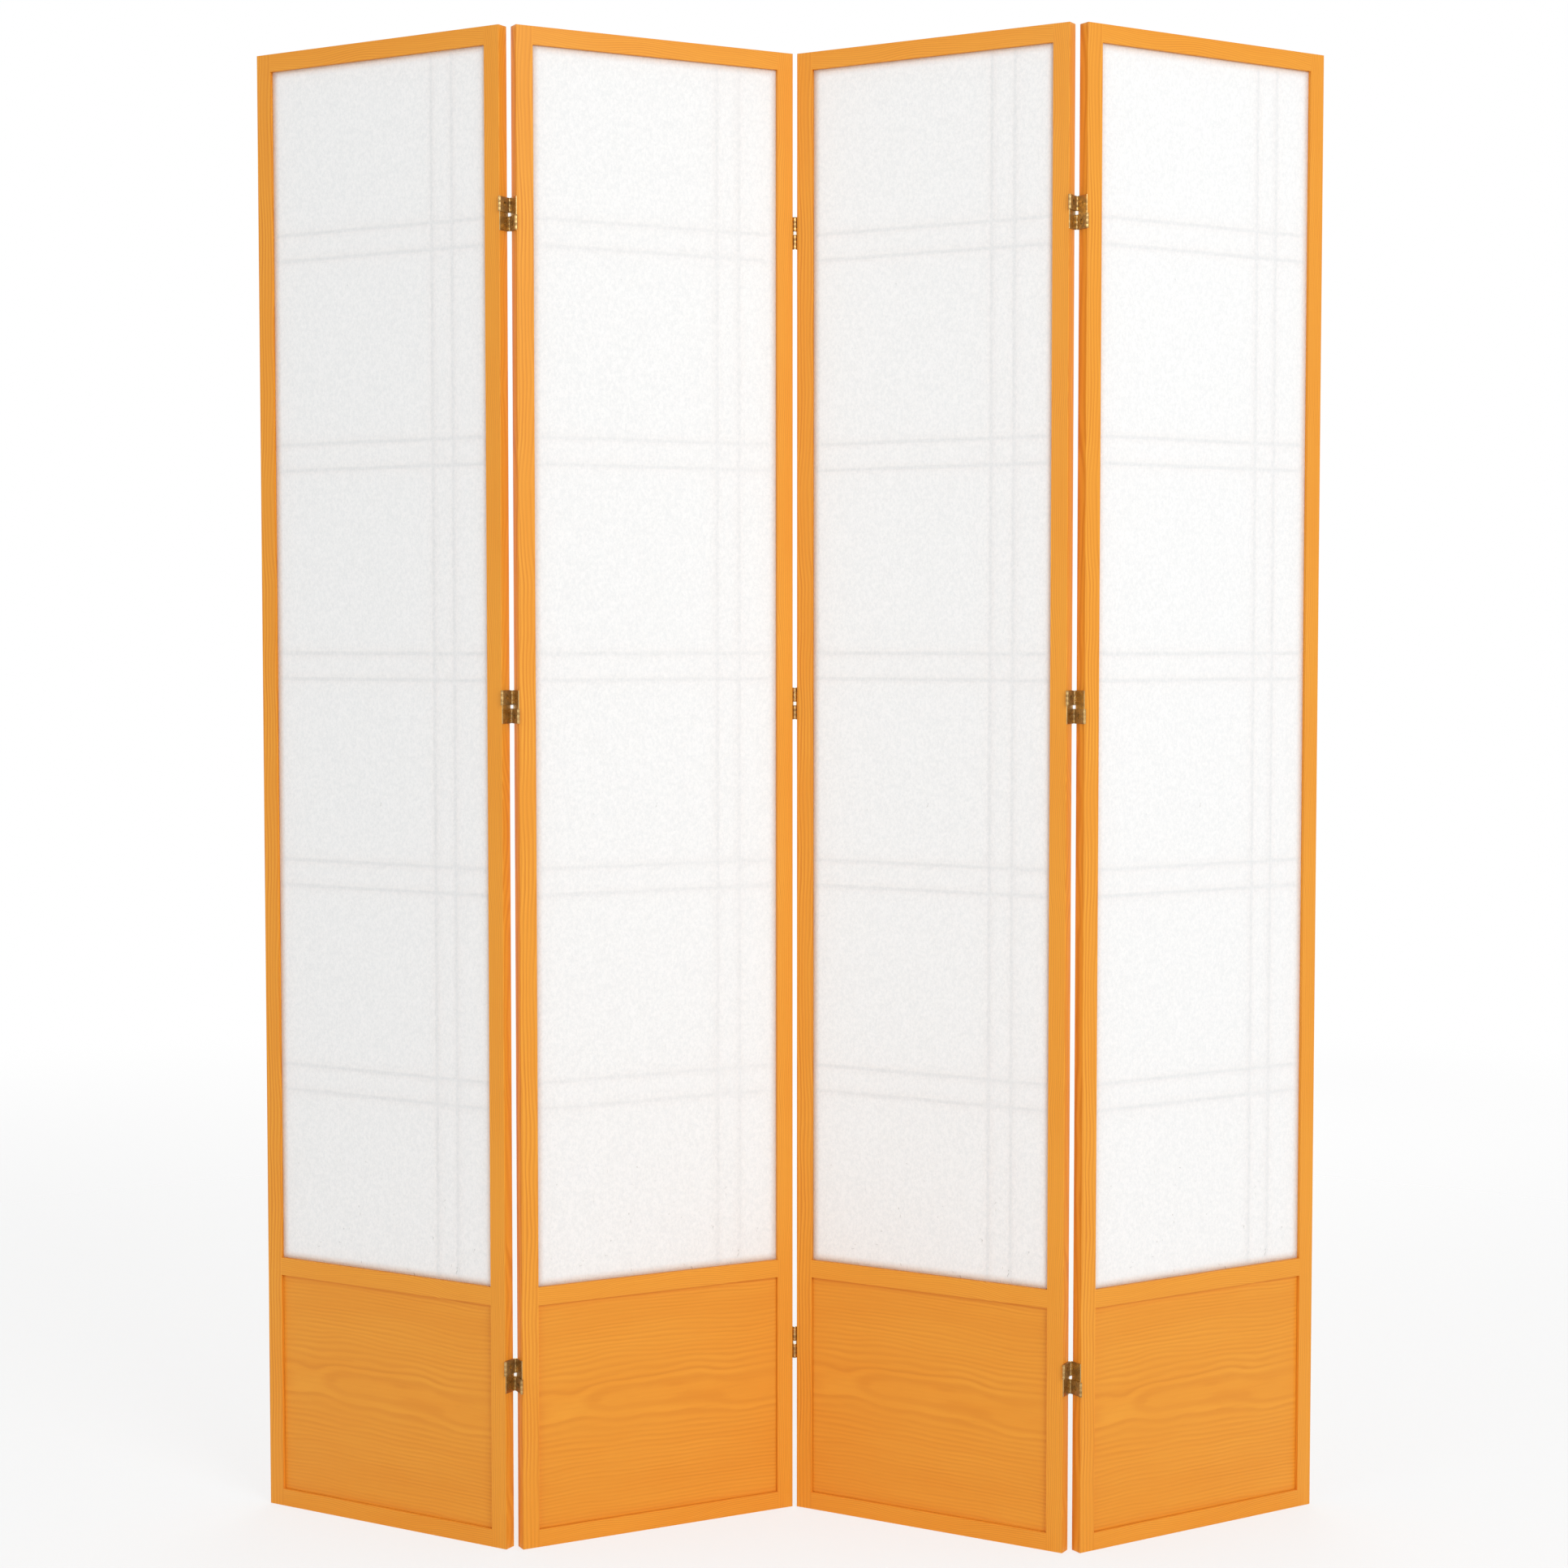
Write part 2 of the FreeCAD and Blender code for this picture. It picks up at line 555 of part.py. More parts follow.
def panel_places():
    """Stand panel 2 at its heading and hang the others on it, each turned about its line's axis."""
    in_line = FreeCAD.Placement(V(size("panel_width") + size("edge_gap"), 0, 0), FreeCAD.Rotation())
    # seen from above, panel 2 is turned to the left of panel 1, panel 3 to the right of panel 2
    steps = {line: turn_about(axis_point(line), size(fold) if axis == FRONT else -size(fold)).multiply(in_line)
             for line, (left, right, axis, fold) in LINES.items()}
    second = FreeCAD.Placement(V(), FreeCAD.Rotation(Z_AXIS, size("heading")))
    first = second.multiply(steps["hinge_1_2"].inverse())
    third = second.multiply(steps["hinge_2_3"])
    fourth = third.multiply(steps["hinge_3_4"])
    return dict(zip(PANELS, (first, second, third, fourth)))


def stand(places):
    for piece, panel in NODES:
        piece.Placement = places[panel]
    doc.recompute()


def centred(places):
    """Shift the plan so that the middle of the screen's bounding box is at the origin."""
    whole = Part.makeCompound([piece.Shape for piece, panel in NODES]).optimalBoundingBox(False)
    shift = FreeCAD.Placement(V(-whole.Center.x, -whole.Center.y, 0), FreeCAD.Rotation())
    return {panel: shift.multiply(place) for panel, place in places.items()}


doc.recompute()
stand(panel_places())
PLACES = centred(panel_places())
stand(PLACES)

# ------------------------------------------------------------------ checks and output
for thing in doc.Objects:
    if "Invalid" in thing.State or "Error" in thing.State:
        raise RuntimeError("%s failed: %s" % (thing.Name, thing.State))
for piece, panel in NODES:
    if piece.Shape.isNull() or not piece.Shape.isValid():
        raise RuntimeError("%s has no valid shape" % piece.Label)

os.makedirs("parts", exist_ok=True)
for piece, panel in NODES:
    piece.Shape.exportStep(os.path.join("parts", piece.Label + ".step"))

for line, (left, right, axis, fold) in LINES.items():
    place = PLACES[left].multVec(axis_point(line))
    print("axis of %s: x %.4f y %.4f" % (line, place.x, place.y))
bounds = Part.makeCompound([piece.Shape for piece, panel in NODES]).optimalBoundingBox(False)
print("nodes %d, box %s" % (len(NODES), bounds))
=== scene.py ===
import bmesh
import bpy
import math
from mathutils import Euler, Matrix, Vector, noise


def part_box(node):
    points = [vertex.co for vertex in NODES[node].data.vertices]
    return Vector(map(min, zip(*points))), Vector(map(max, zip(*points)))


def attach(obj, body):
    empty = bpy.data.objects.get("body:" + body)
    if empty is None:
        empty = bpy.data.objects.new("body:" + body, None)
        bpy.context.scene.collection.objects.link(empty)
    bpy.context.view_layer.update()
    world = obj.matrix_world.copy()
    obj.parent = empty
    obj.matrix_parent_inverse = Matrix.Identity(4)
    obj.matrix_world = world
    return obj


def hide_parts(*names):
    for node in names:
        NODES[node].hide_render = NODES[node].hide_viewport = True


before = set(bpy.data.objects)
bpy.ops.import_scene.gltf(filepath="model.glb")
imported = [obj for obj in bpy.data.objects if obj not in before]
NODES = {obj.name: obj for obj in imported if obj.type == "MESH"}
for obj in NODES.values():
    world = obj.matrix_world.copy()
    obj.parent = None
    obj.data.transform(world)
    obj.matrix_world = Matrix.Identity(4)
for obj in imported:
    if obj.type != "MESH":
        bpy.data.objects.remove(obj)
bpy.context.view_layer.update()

PANELS = ("panel_1", "panel_2", "panel_3", "panel_4")

# ------------------------------------------------------------------ camera of the photograph
PHOTO_SIZE = 1932                              # the photograph is square
FOCAL_PIXELS = 3487.8                          # found from the screen's edges in the photograph
SENSOR = 36.0                                  # millimetres
CAMERA_PLACE = Vector((-0.0088, -4.0533, 1.2966))
CAMERA_PITCH = math.radians(3.049)             # downwards

# ------------------------------------------------------------------ colours (sRGB, as seen in white light)
HONEY_LIGHT = (250, 174, 60)
HONEY = (245, 162, 50)
HONEY_DARK = (224, 136, 37)
HONEY_LATE = (204, 116, 31)                    # the darkest line of a growth ring
HONEY_END = (172, 94, 20)                      # end grain, which drinks more stain
PAPER_WHITE = (248, 248, 247)
PAPER_CLOUD = (237, 238, 238)
PAPER_FIBRE = (250, 250, 249)
PAPER_FLECK = (178, 176, 172)
BRASS = (214, 180, 120)
# a darker copy of the brass for the hinge links: painted shade, so that their knuckles catch less highlight
# than the leaves'
BRASS_SHADED = (196, 160, 104)
BRASS_BROWN = (138, 108, 66)
BEECH = (214, 182, 138)


def linear(colour):
    """An sRGB colour in 0 to 255 as linear RGBA."""
    return tuple((c / 255 / 12.92) if c / 255 <= 0.04045 else ((c / 255 + 0.055) / 1.055) ** 2.4
                 for c in colour) + (1.0,)


# ------------------------------------------------------------------ the panels' own frames
def plan_middle(name):
    low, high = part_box(name)
    return (low + high) / 2


def in_frame(name, to_panel):
    """Lowest and highest corner of a CAD node in a panel's own axes."""
    points = [to_panel @ v.co for v in NODES[name].data.vertices]
    return (Vector([min(p[k] for p in points) for k in range(3)]),
            Vector([max(p[k] for p in points) for k in range(3)]))


def panel_frame(panel):
    """The matrix from a panel's own axes to the row frame: the stiles' middles give its heading."""
    left = plan_middle(panel + "_stile_left")
    right = plan_middle(panel + "_stile_right")
    heading = math.atan2(right.y - left.y, right.x - left.x)
    turn = Matrix.Rotation(heading, 4, "Z")
    corner = in_frame(panel + "_stile_left", turn.inverted())[0]
    return Matrix.Translation(turn @ corner) @ turn


FRAMES = {panel: panel_frame(panel) for panel in PANELS}


def local_box(panel, part):
    return in_frame("%s_%s" % (panel, part), FRAMES[panel].inverted())


def solid_spans(panel, part, axis):
    """The stretches along an axis that a group of parallel bars takes up."""
    to_panel = FRAMES[panel].inverted()
    vertices = NODES["%s_%s" % (panel, part)].data.vertices
    edges = sorted({round((to_panel @ v.co)[axis], 4) for v in vertices})
    return list(zip(edges[0::2], edges[1::2]))


# ------------------------------------------------------------------ node wiring
class Wiring:
    """Short calls for adding nodes to one node tree and joining them."""

    def __init__(self, tree):
        self.tree = tree

    def put(self, kind, **settings):
        made = self.tree.nodes.new("ShaderNode" + kind)
        for name, value in settings.items():
            setattr(made, name, value)
        return made

    def feed(self, socket, value):
        if isinstance(value, bpy.types.NodeSocket):
            self.tree.links.new(value, socket)
        else:
            socket.default_value = value

    def math(self, operation, *values):
        made = self.put("Math", operation=operation)
        for socket, value in zip(made.inputs, values):
            self.feed(socket, value)
        return made.outputs[0]

    def scaled(self, vector, factors):
        made = self.put("VectorMath", operation="MULTIPLY")
        self.feed(made.inputs[0], vector)
        self.feed(made.inputs[1], factors)
        return made.outputs[0]

    def split(self, vector):
        made = self.put("SeparateXYZ")
        self.feed(made.inputs[0], vector)
        return made.outputs

    def noise(self, vector, scale, detail=2.0, roughness=0.5, distortion=0.0):
        made = self.put("TexNoise")
        for name, value in (("Vector", vector), ("Scale", scale), ("Detail", detail),
                            ("Roughness", roughness), ("Distortion", distortion)):
            self.feed(made.inputs[name], value)
        return made.outputs["Fac"]

    def ring_noise(self, ring, scale):
        """A random level for each growth ring, smooth from one ring to the next."""
        made = self.put("TexNoise", noise_dimensions="1D")
        self.feed(made.inputs["W"], ring)
        made.inputs["Scale"].default_value = scale
        made.inputs["Detail"].default_value = 1.0
        return made.outputs["Fac"]

    def remap(self, value, low, high, to_low=0.0, to_high=1.0, kind="SMOOTHSTEP"):
        made = self.put("MapRange", interpolation_type=kind)
        for name, number in (("Value", value), ("From Min", low), ("From Max", high),
                             ("To Min", to_low), ("To Max", to_high)):
            self.feed(made.inputs[name], number)
        return made.outputs[0]

    def blend(self, factor, first, second):
        made = self.put("Mix", data_type="RGBA")
        self.feed(made.inputs["Factor"], factor)
        self.feed(made.inputs["A"], first)
        self.feed(made.inputs["B"], second)
        return made.outputs["Result"]


def new_group(name, inputs, outputs):
    """An empty shader node group with its sockets: returns the tree, its input and output nodes."""
    tree = bpy.data.node_groups.new(name, "ShaderNodeTree")
    for socket, kind, default in inputs:
        made = tree.interface.new_socket(socket, in_out="INPUT", socket_type="NodeSocket" + kind)
        if default is not None:
            made.default_value = default
    for socket, kind in outputs:
        tree.interface.new_socket(socket, in_out="OUTPUT", socket_type="NodeSocket" + kind)
    return tree, tree.nodes.new("NodeGroupInput"), tree.nodes.new("NodeGroupOutput")


# ------------------------------------------------------------------ stained softwood
# Each stretch says how fast a pattern changes across, into and along a board, in waves per metre.
HEART_SIDEWAYS = (2.0, 2.0, 2.7)               # the trunk isn't straight
HEART_INWARDS = (-3.1, 2.3, 3.9)               # mirrored across, so that it doesn't follow the other
RING_RIPPLE = (30.0, 30.0, 7.0)
RIPPLE_SIZE = 2.1                              # in ring spacings
LATE_PATCHES = (24.0, 24.0, 7.0)
FIBRES = (1300.0, 1300.0, 26.0)
STREAKS = (260.0, 260.0, 4.0)
BLOTCHES = (17.0, 17.0, 5.0)
YEAR_SCALE = 0.55                              # how fast the rings' strength changes from year to year
SHADE_SCALE = 0.17                             # and their depth of colour
LATE_SKEW = 0.35                               # how much a ring darkens towards one side
LATE_MEAN = 0.42


def slow_swing(w, place, stretch, amount):
    """A slow change along the board, from minus to plus half the amount."""
    level = w.noise(w.scaled(place, stretch), 1.0, 2.0, 0.45)
    return w.math("MULTIPLY", w.math("SUBTRACT", level, 0.5), amount)


def ring_number(w, place, given):
    """How many growth rings out from the trunk's wandering heart a point lies."""
    spacing = given.outputs["Ring Spacing"]
    drift = given.outputs["Drift"]
    sideways = slow_swing(w, place, HEART_SIDEWAYS, drift)
    inwards = slow_swing(w, place, HEART_INWARDS, drift)
    ripple = slow_swing(w, place, RING_RIPPLE, w.math("MULTIPLY", spacing, RIPPLE_SIZE))
    point = w.split(place)
    across = w.math("ADD", w.math("SUBTRACT", point["X"], given.outputs["Heart Across"]), sideways)
    deep = w.math("ADD", w.math("SUBTRACT", point["Y"], given.outputs["Heart Depth"]), inwards)
    squares = w.math("ADD", w.math("MULTIPLY", across, across), w.math("MULTIPLY", deep, deep))
    return w.math("DIVIDE", w.math("ADD", w.math("SQRT", squares), ripple), spacing)


def late_wood(w, place, ring, contrast):
    """How dark the wood is within its ring: some years are dark, some hardly show."""
    angle = w.math("MULTIPLY", ring, math.tau)
    skew = w.math("MULTIPLY", w.math("SINE", angle), LATE_SKEW)
    band = w.remap(w.math("SINE", w.math("ADD", angle, skew)), -0.9, 1.0)
    year = w.remap(w.ring_noise(ring, YEAR_SCALE), 0.30, 0.70, 0.55, 1.0)
    patch = w.remap(w.noise(w.scaled(place, LATE_PATCHES), 1.0, 2.0), 0.30, 0.65, 0.55, 1.15)
    swing = w.math("MULTIPLY", w.math("SUBTRACT", band, 0.5), w.math("MULTIPLY", year, patch))
    return w.math("ADD", w.math("MULTIPLY", swing, contrast), LATE_MEAN)


def wood_colour(w, place, given, ring, late, fibre):
    """Honey colours laid over each other: rings, streaks, fibres, extra stain and sawn ends."""
    shade = w.remap(w.ring_noise(ring, SHADE_SCALE), 0.32, 0.68)
    streak = w.noise(w.scaled(place, STREAKS), 1.0, 3.0, 0.55)
    blotch = w.noise(w.scaled(place, BLOTCHES), 1.0, 2.0, 0.5)
    layers = (
        (w.math("MULTIPLY", shade, 0.10), HONEY_DARK),
        (w.math("MULTIPLY", late, 0.75), HONEY_DARK),
        (w.remap(late, 0.50, 1.2, 0.0, 0.35), HONEY_LATE),
        (w.remap(streak, 0.46, 0.76, 0.0, 0.10), HONEY_DARK),
        (w.remap(streak, 0.50, 0.26, 0.0, 0.12), HONEY_LIGHT),
        (w.remap(fibre, 0.52, 0.80, 0.0, 0.22), HONEY_LATE),
        (given.outputs["Stain"], HONEY_DARK),
        (w.math("MULTIPLY", given.outputs["End Grain"], 0.75), HONEY_END),
    )
    colour = w.blend(w.remap(blotch, 0.25, 0.75, 0.2, 0.8), linear(HONEY), linear(HONEY_LIGHT))
    for amount, tone in layers:
        colour = w.blend(amount, colour, linear(tone))
    return colour


def softwood_group():
    """Stained softwood with its grain along Z: growth rings about a heart behind the face, fibres, stain."""
    tree, given, result = new_group(
        "stained softwood",
        [("Vector", "Vector", None), ("End Grain", "Float", 0.0), ("Ring Spacing", "Float", 0.004),
         ("Heart Across", "Float", 0.03), ("Heart Depth", "Float", 0.05), ("Drift", "Float", 0.01),
         ("Contrast", "Float", 1.0), ("Stain", "Float", 0.0)],
        [("Color", "Color"), ("Roughness", "Float"), ("Height", "Float")])
    w = Wiring(tree)
    place = given.outputs["Vector"]
    ring = ring_number(w, place, given)
    late = late_wood(w, place, ring, given.outputs["Contrast"])
    fibre = w.noise(w.scaled(place, FIBRES), 1.0, 3.0, 0.6)
    w.feed(result.inputs["Color"], wood_colour(w, place, given, ring, late, fibre))
    dull = w.remap(fibre, 0.3, 0.8, 0.38, 0.50)
    w.feed(result.inputs["Roughness"], w.math("ADD", dull, w.math("MULTIPLY", late, -0.04)))
    pores = w.math("MULTIPLY", fibre, -0.5)
    w.feed(result.inputs["Height"], w.math("ADD", pores, w.math("MULTIPLY", late, 0.30)))
    return tree


# ------------------------------------------------------------------ mulberry paper
# Each row of threads is its scale, its stretch, the threads' width and their turn in radians.
LONG_THREADS = ((38.0, 0.35, 0.012, 0.5), (46.0, 0.3, 0.010, 1.9))
SHORT_THREADS = ((120.0, 0.4, 0.03, 1.1), (150.0, 0.4, 0.03, 2.6))
CLOUD_SCALE = 210.0
PULP_SCALE = 420.0
FLECK_SCALE = 190.0
SWARM_SCALE = 16.0                             # flecks lie in loose swarms
FLECK_HEIGHTS = (0.40, 0.60)                   # flecks thin out between these heights above the floor


def threads(w, place, scale, stretch, width, turn):
    """Thin winding threads: the middle level of a distorted noise, broken up by another."""
    turned = w.put("Mapping")
    w.feed(turned.inputs["Vector"], place)
    turned.inputs["Rotation"].default_value = (0.0, turn, 0.0)
    turned.inputs["Scale"].default_value = (1.0, 1.0, stretch)
    field = w.noise(turned.outputs[0], scale, 1.0, 0.4, 0.6)
    ridge = w.math("ABSOLUTE", w.math("SUBTRACT", field, 0.5))
    line = w.remap(ridge, 0.0, width, 1.0, 0.0)
    gate = w.remap(w.noise(turned.outputs[0], scale * 0.8, 2.0), 0.52, 0.62)
    return w.math("MULTIPLY", line, gate)


def bark_flecks(w, place):
    """Dark flecks of bark, mostly low on the sheet."""
    low = w.remap(w.split(place)["Z"], *FLECK_HEIGHTS, 0.10, 0.0)
    specks = w.noise(w.scaled(place, (1.0, 1.0, 0.6)), FLECK_SCALE, 2.0, 0.5, 0.8)
    swarms = w.noise(place, SWARM_SCALE, 1.0)
    return w.math("MULTIPLY", w.remap(w.math("ADD", specks, low), 0.75, 0.80), w.remap(swarms, 0.50, 0.60))


def paper_group():
    """Mulberry paper: soft clouds of pulp, long pale fibres and a few dark flecks of bark."""
    tree, given, result = new_group("mulberry paper", [("Vector", "Vector", None)],
                                    [("Color", "Color"), ("Height", "Float")])
    w = Wiring(tree)
    place = given.outputs["Vector"]
    clouds = w.noise(w.scaled(place, (1.6, 1.6, 1.0)), CLOUD_SCALE, 5.0, 0.75, 0.3)
    pulp = w.noise(place, PULP_SCALE, 3.0, 0.6)
    long_threads = w.math("MAXIMUM", *(threads(w, place, *row) for row in LONG_THREADS))
    short_threads = w.math("MAXIMUM", *(threads(w, place, *row) for row in SHORT_THREADS))
    colour = w.blend(w.remap(clouds, 0.35, 0.65), linear(PAPER_CLOUD), linear(PAPER_WHITE))
    for mask, amount, tone in ((long_threads, 0.40, PAPER_FIBRE), (short_threads, 0.35, PAPER_FIBRE),
                               (bark_flecks(w, place), 0.5, PAPER_FLECK)):
        colour = w.blend(w.math("MULTIPLY", mask, amount), colour, linear(tone))
    w.feed(result.inputs["Color"], colour)
    height = w.math("MULTIPLY", clouds, 0.5)
    for mask, amount in ((pulp, 0.25), (long_threads, 0.5), (short_threads, 0.25)):
        height = w.math("ADD", height, w.math("MULTIPLY", mask, amount))
    w.feed(result.inputs["Height"], height)
    return tree


SOFTWOOD = softwood_group()
MULBERRY = paper_group()

# ------------------------------------------------------------------ materials
WOOD_RELIEF = 0.00010                          # depth that each bump stands for
PAPER_RELIEF = 0.00012
SCRATCH_RELIEF = 0.00003
BOARD_SHIFT = 7.3                              # along the trunk from one kind of board to the next


def new_material(name):
    material = bpy.data.materials.new(name)
    material.use_nodes = True
    tree = material.node_tree
    return material, Wiring(tree), tree.nodes["Principled BSDF"]


def bumped(w, shader, height, distance, strength):
    bump = w.put("Bump")
    w.feed(bump.inputs["Height"], height)
    bump.inputs["Distance"].default_value = distance
    bump.inputs["Strength"].default_value = strength
    w.feed(shader.inputs["Normal"], bump.outputs["Normal"])


def grain_turn(panel, along):
    """The turn from the row frame to a board's own axes, with its grain along Z."""
    turn = FRAMES[panel].to_3x3().inverted()
    if along == "X":
        return Matrix.Rotation(math.radians(-90), 3, "Y") @ turn
    return turn


def grain_vector(w, panel, along, seed):
    """Object coordinates in a piece's own axes, each kind of board from another length of the trunk."""
    turn = grain_turn(panel, along)
    shift = Vector((0.0, 0.0, BOARD_SHIFT * seed))
    coords = w.put("TexCoord")
    mapping = w.put("Mapping")
    w.feed(mapping.inputs["Vector"], coords.outputs["Object"])
    mapping.inputs["Rotation"].default_value = turn.to_euler("XYZ")
    mapping.inputs["Location"].default_value = shift - turn @ FRAMES[panel].translation
    return mapping.outputs[0]


def end_grain(w, panel, along):
    """1 on a board's sawn ends, 0 on its long faces."""
    facing = w.put("VectorMath", operation="DOT_PRODUCT")
    w.feed(facing.inputs[0], w.put("TexCoord").outputs["Normal"])
    facing.inputs[1].default_value = grain_turn(panel, along).inverted() @ Vector((0.0, 0.0, 1.0))
    return w.remap(w.math("ABSOLUTE", facing.outputs["Value"]), 0.80, 0.95)


def stained_wood(name, panel, along, seed, rings):
    """Stained and lacquered softwood for one board, with its own values for the growth rings."""
    material, w, shader = new_material(name)
    grain = w.put("Group", node_tree=SOFTWOOD)
    w.feed(grain.inputs["Vector"], grain_vector(w, panel, along, seed))
    w.feed(grain.inputs["End Grain"], end_grain(w, panel, along))
    for socket, value in rings.items():
        grain.inputs[socket].default_value = value
    w.feed(shader.inputs["Base Color"], grain.outputs["Color"])
    w.feed(shader.inputs["Roughness"], grain.outputs["Roughness"])
    shader.inputs["Specular IOR Level"].default_value = 0.25
    shader.inputs["Coat Weight"].default_value = 0.05
    shader.inputs["Coat Roughness"].default_value = 0.25
    bumped(w, shader, grain.outputs["Height"], WOOD_RELIEF, 0.6)
    return material


def paper_material(panel):
    """Mulberry paper, with its flecks in the same places on each sheet."""
    material, w, shader = new_material(panel + "_mulberry_paper")
    sheet = w.put("Group", node_tree=MULBERRY)
    w.feed(sheet.inputs["Vector"], grain_vector(w, panel, "Z", 0))
    w.feed(shader.inputs["Base Color"], sheet.outputs["Color"])
    shader.inputs["Roughness"].default_value = 0.85
    shader.inputs["Specular IOR Level"].default_value = 0.2
    shader.inputs["Subsurface Weight"].default_value = 1.0
    shader.inputs["Subsurface Radius"].default_value = (1.0, 1.0, 1.0)
    shader.inputs["Subsurface Scale"].default_value = 0.0003
    bumped(w, shader, sheet.outputs["Height"], PAPER_RELIEF, 0.5)
    return material


def brass_material(name, tone, brown, rough):
    """Lacquered brass that has aged: brown and dull in patches, with fine scratches."""
    material, w, shader = new_material(name)
    coords = w.put("TexCoord").outputs["Object"]
    patches = w.remap(w.noise(coords, 150.0, 4.0, 0.6, 0.4), 0.36, 0.66)
    scratches = w.noise(w.scaled(coords, (900.0, 900.0, 5200.0)), 1.0, 2.0)
    aged = w.blend(w.math("MULTIPLY", patches, brown), linear(tone), linear(BRASS_BROWN))
    w.feed(shader.inputs["Base Color"], aged)
    dull = w.remap(patches, 0.0, 1.0, rough, rough + 0.16)
    scuffs = w.remap(scratches, 0.3, 0.7, -0.05, 0.05)
    w.feed(shader.inputs["Roughness"], w.math("ADD", dull, scuffs))
    shader.inputs["Metallic"].default_value = 1.0
    bumped(w, shader, scratches, SCRATCH_RELIEF, 0.4)
    return material


def beech_material():
    material, w, shader = new_material("plain_beech")
    coords = w.put("TexCoord").outputs["Object"]
    rays = w.remap(w.noise(w.scaled(coords, (300.0, 300.0, 1800.0)), 1.0, 3.0), 0.35, 0.7)
    w.feed(shader.inputs["Base Color"], w.blend(rays, linear(BEECH), linear(HONEY_DARK)))
    shader.inputs["Roughness"].default_value = 0.6
    return material


# ------------------------------------------------------------------ paper
PAPER_STEP = 0.012                             # size of the sheet's mesh squares
PAPER_BILLOW = 0.0004                          # how far the paper stands out between the bars
FULLNESS = 0.6                                 # below 1, the billow is fuller near the bars
CRUMPLE_SCALE = 9.0                            # crumples per metre
CRUMPLE_SHIFT = 5.0                            # between the crumples of two sheets


def between(value, spans, low, high):
    """0 on a bar or an edge, 1 in the middle of a free field between them."""
    edges = [low] + [edge for span in spans for edge in span] + [high]
    for left, right in zip(edges[0::2], edges[1::2]):
        if left < value < right:
            return math.sin(math.pi * (value - left) / (right - left)) ** FULLNESS
    return 0.0


def flat_sheet(size, middle):
    """An upright grid of the sheet's width and height."""
    columns = max(2, round(size.x / PAPER_STEP))
    rows = max(2, round(size.z / PAPER_STEP))
    mesh = bmesh.new()
    bmesh.ops.create_grid(mesh, x_segments=columns, y_segments=rows, size=0.5)
    bmesh.ops.scale(mesh, vec=(size.x, size.z, 1.0), verts=mesh.verts)
    bmesh.ops.rotate(mesh, verts=mesh.verts, matrix=Matrix.Rotation(math.radians(90), 3, "X"))
    bmesh.ops.translate(mesh, verts=mesh.verts, vec=middle)
    return mesh


def billow(mesh, panel, low, high, seed):
    """Let the sheet stand out a little where nothing holds it."""
    rows = solid_spans(panel, "lattice_horizontals", 2)
    columns = solid_spans(panel, "lattice_verticals", 0)
    shift = Vector((0.0, 0.0, CRUMPLE_SHIFT * seed))
    for v in mesh.verts:
        free = between(v.co.x, columns, low.x, high.x) * between(v.co.z, rows, low.z, high.z)
        crumple = 0.6 + 0.8 * noise.noise(v.co * CRUMPLE_SCALE + shift)
        v.co.y -= PAPER_BILLOW * free * crumple


def add_object(name, mesh):
    """An object at the origin, with its place in its mesh."""
    data = bpy.data.meshes.new(name)
    mesh.to_mesh(data)
    mesh.free()
    made = bpy.data.objects.new(name, data)
    bpy.context.scene.collection.objects.link(made)
    return made


def make_paper(panel, seed):
    """The sheet glued to the lattice, in place of the CAD's plain one."""
    low, high = local_box(panel, "paper")
    size = high - low
    mesh = flat_sheet(size, (low + high) / 2)
    billow(mesh, panel, low, high, seed)
    mesh.transform(FRAMES[panel])
    sheet = add_object(panel + "_paper_sheet", mesh)
    polygons = sheet.data.polygons
    polygons.foreach_set("use_smooth", [True] * len(polygons))
    thickness = sheet.modifiers.new("thickness", "SOLIDIFY")
    thickness.thickness = size.y
    thickness.offset = 0.0
    sheet.data.materials.append(paper_material(panel))
    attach(sheet, panel)
    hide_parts(panel + "_paper")


# ------------------------------------------------------------------ dressing the wood and the metal
BOARDS = (
    # part, direction of its grain, ring spacing, heart beside its middle (right or up), heart behind the
    # face, drift, contrast of its rings, extra stain
    ("stile_left", "Z", 0.0044, 0.036, 0.030, 0.022, 1.00, 0.0),
    ("stile_right", "Z", 0.0026, -0.036, 0.026, 0.040, 0.72, 0.0),
    ("top_rail", "X", 0.0024, -0.036, 0.024, 0.050, 0.80, 0.0),
    ("middle_rail", "X", 0.0024, 0.034, 0.026, 0.060, 0.80, 0.0),
    ("bottom_rail", "X", 0.0024, 0.036, 0.024, 0.050, 0.80, 0.0),
    ("kickboard", "X", 0.0050, 0.008, 0.070, 0.030, 0.55, 0.10),
    ("lattice_horizontals", "X", 0.0030, 0.030, 0.030, 0.020, 0.9, 0.0),
    ("lattice_verticals", "Z", 0.0030, 0.030, 0.030, 0.020, 0.9, 0.0),
)
BRASS_LEAF = brass_material("old_brass_leaf", BRASS, 0.45, 0.24)
# The links get a darker, browner copy of the leaves' brass: its brown patches are partly real patina, and its
# darker tone is painted shade that dims the link knuckles between the bright leaf knuckles.
BRASS_LINK_SHADED = brass_material("old_brass_link_shaded", BRASS_SHADED, 0.70, 0.46)
BRASS_WIRE = brass_material("brass_wire", BRASS, 0.30, 0.22)
PLAIN_BEECH = beech_material()


def dress(node, material):
    NODES[node].data.materials.clear()
    NODES[node].data.materials.append(material)


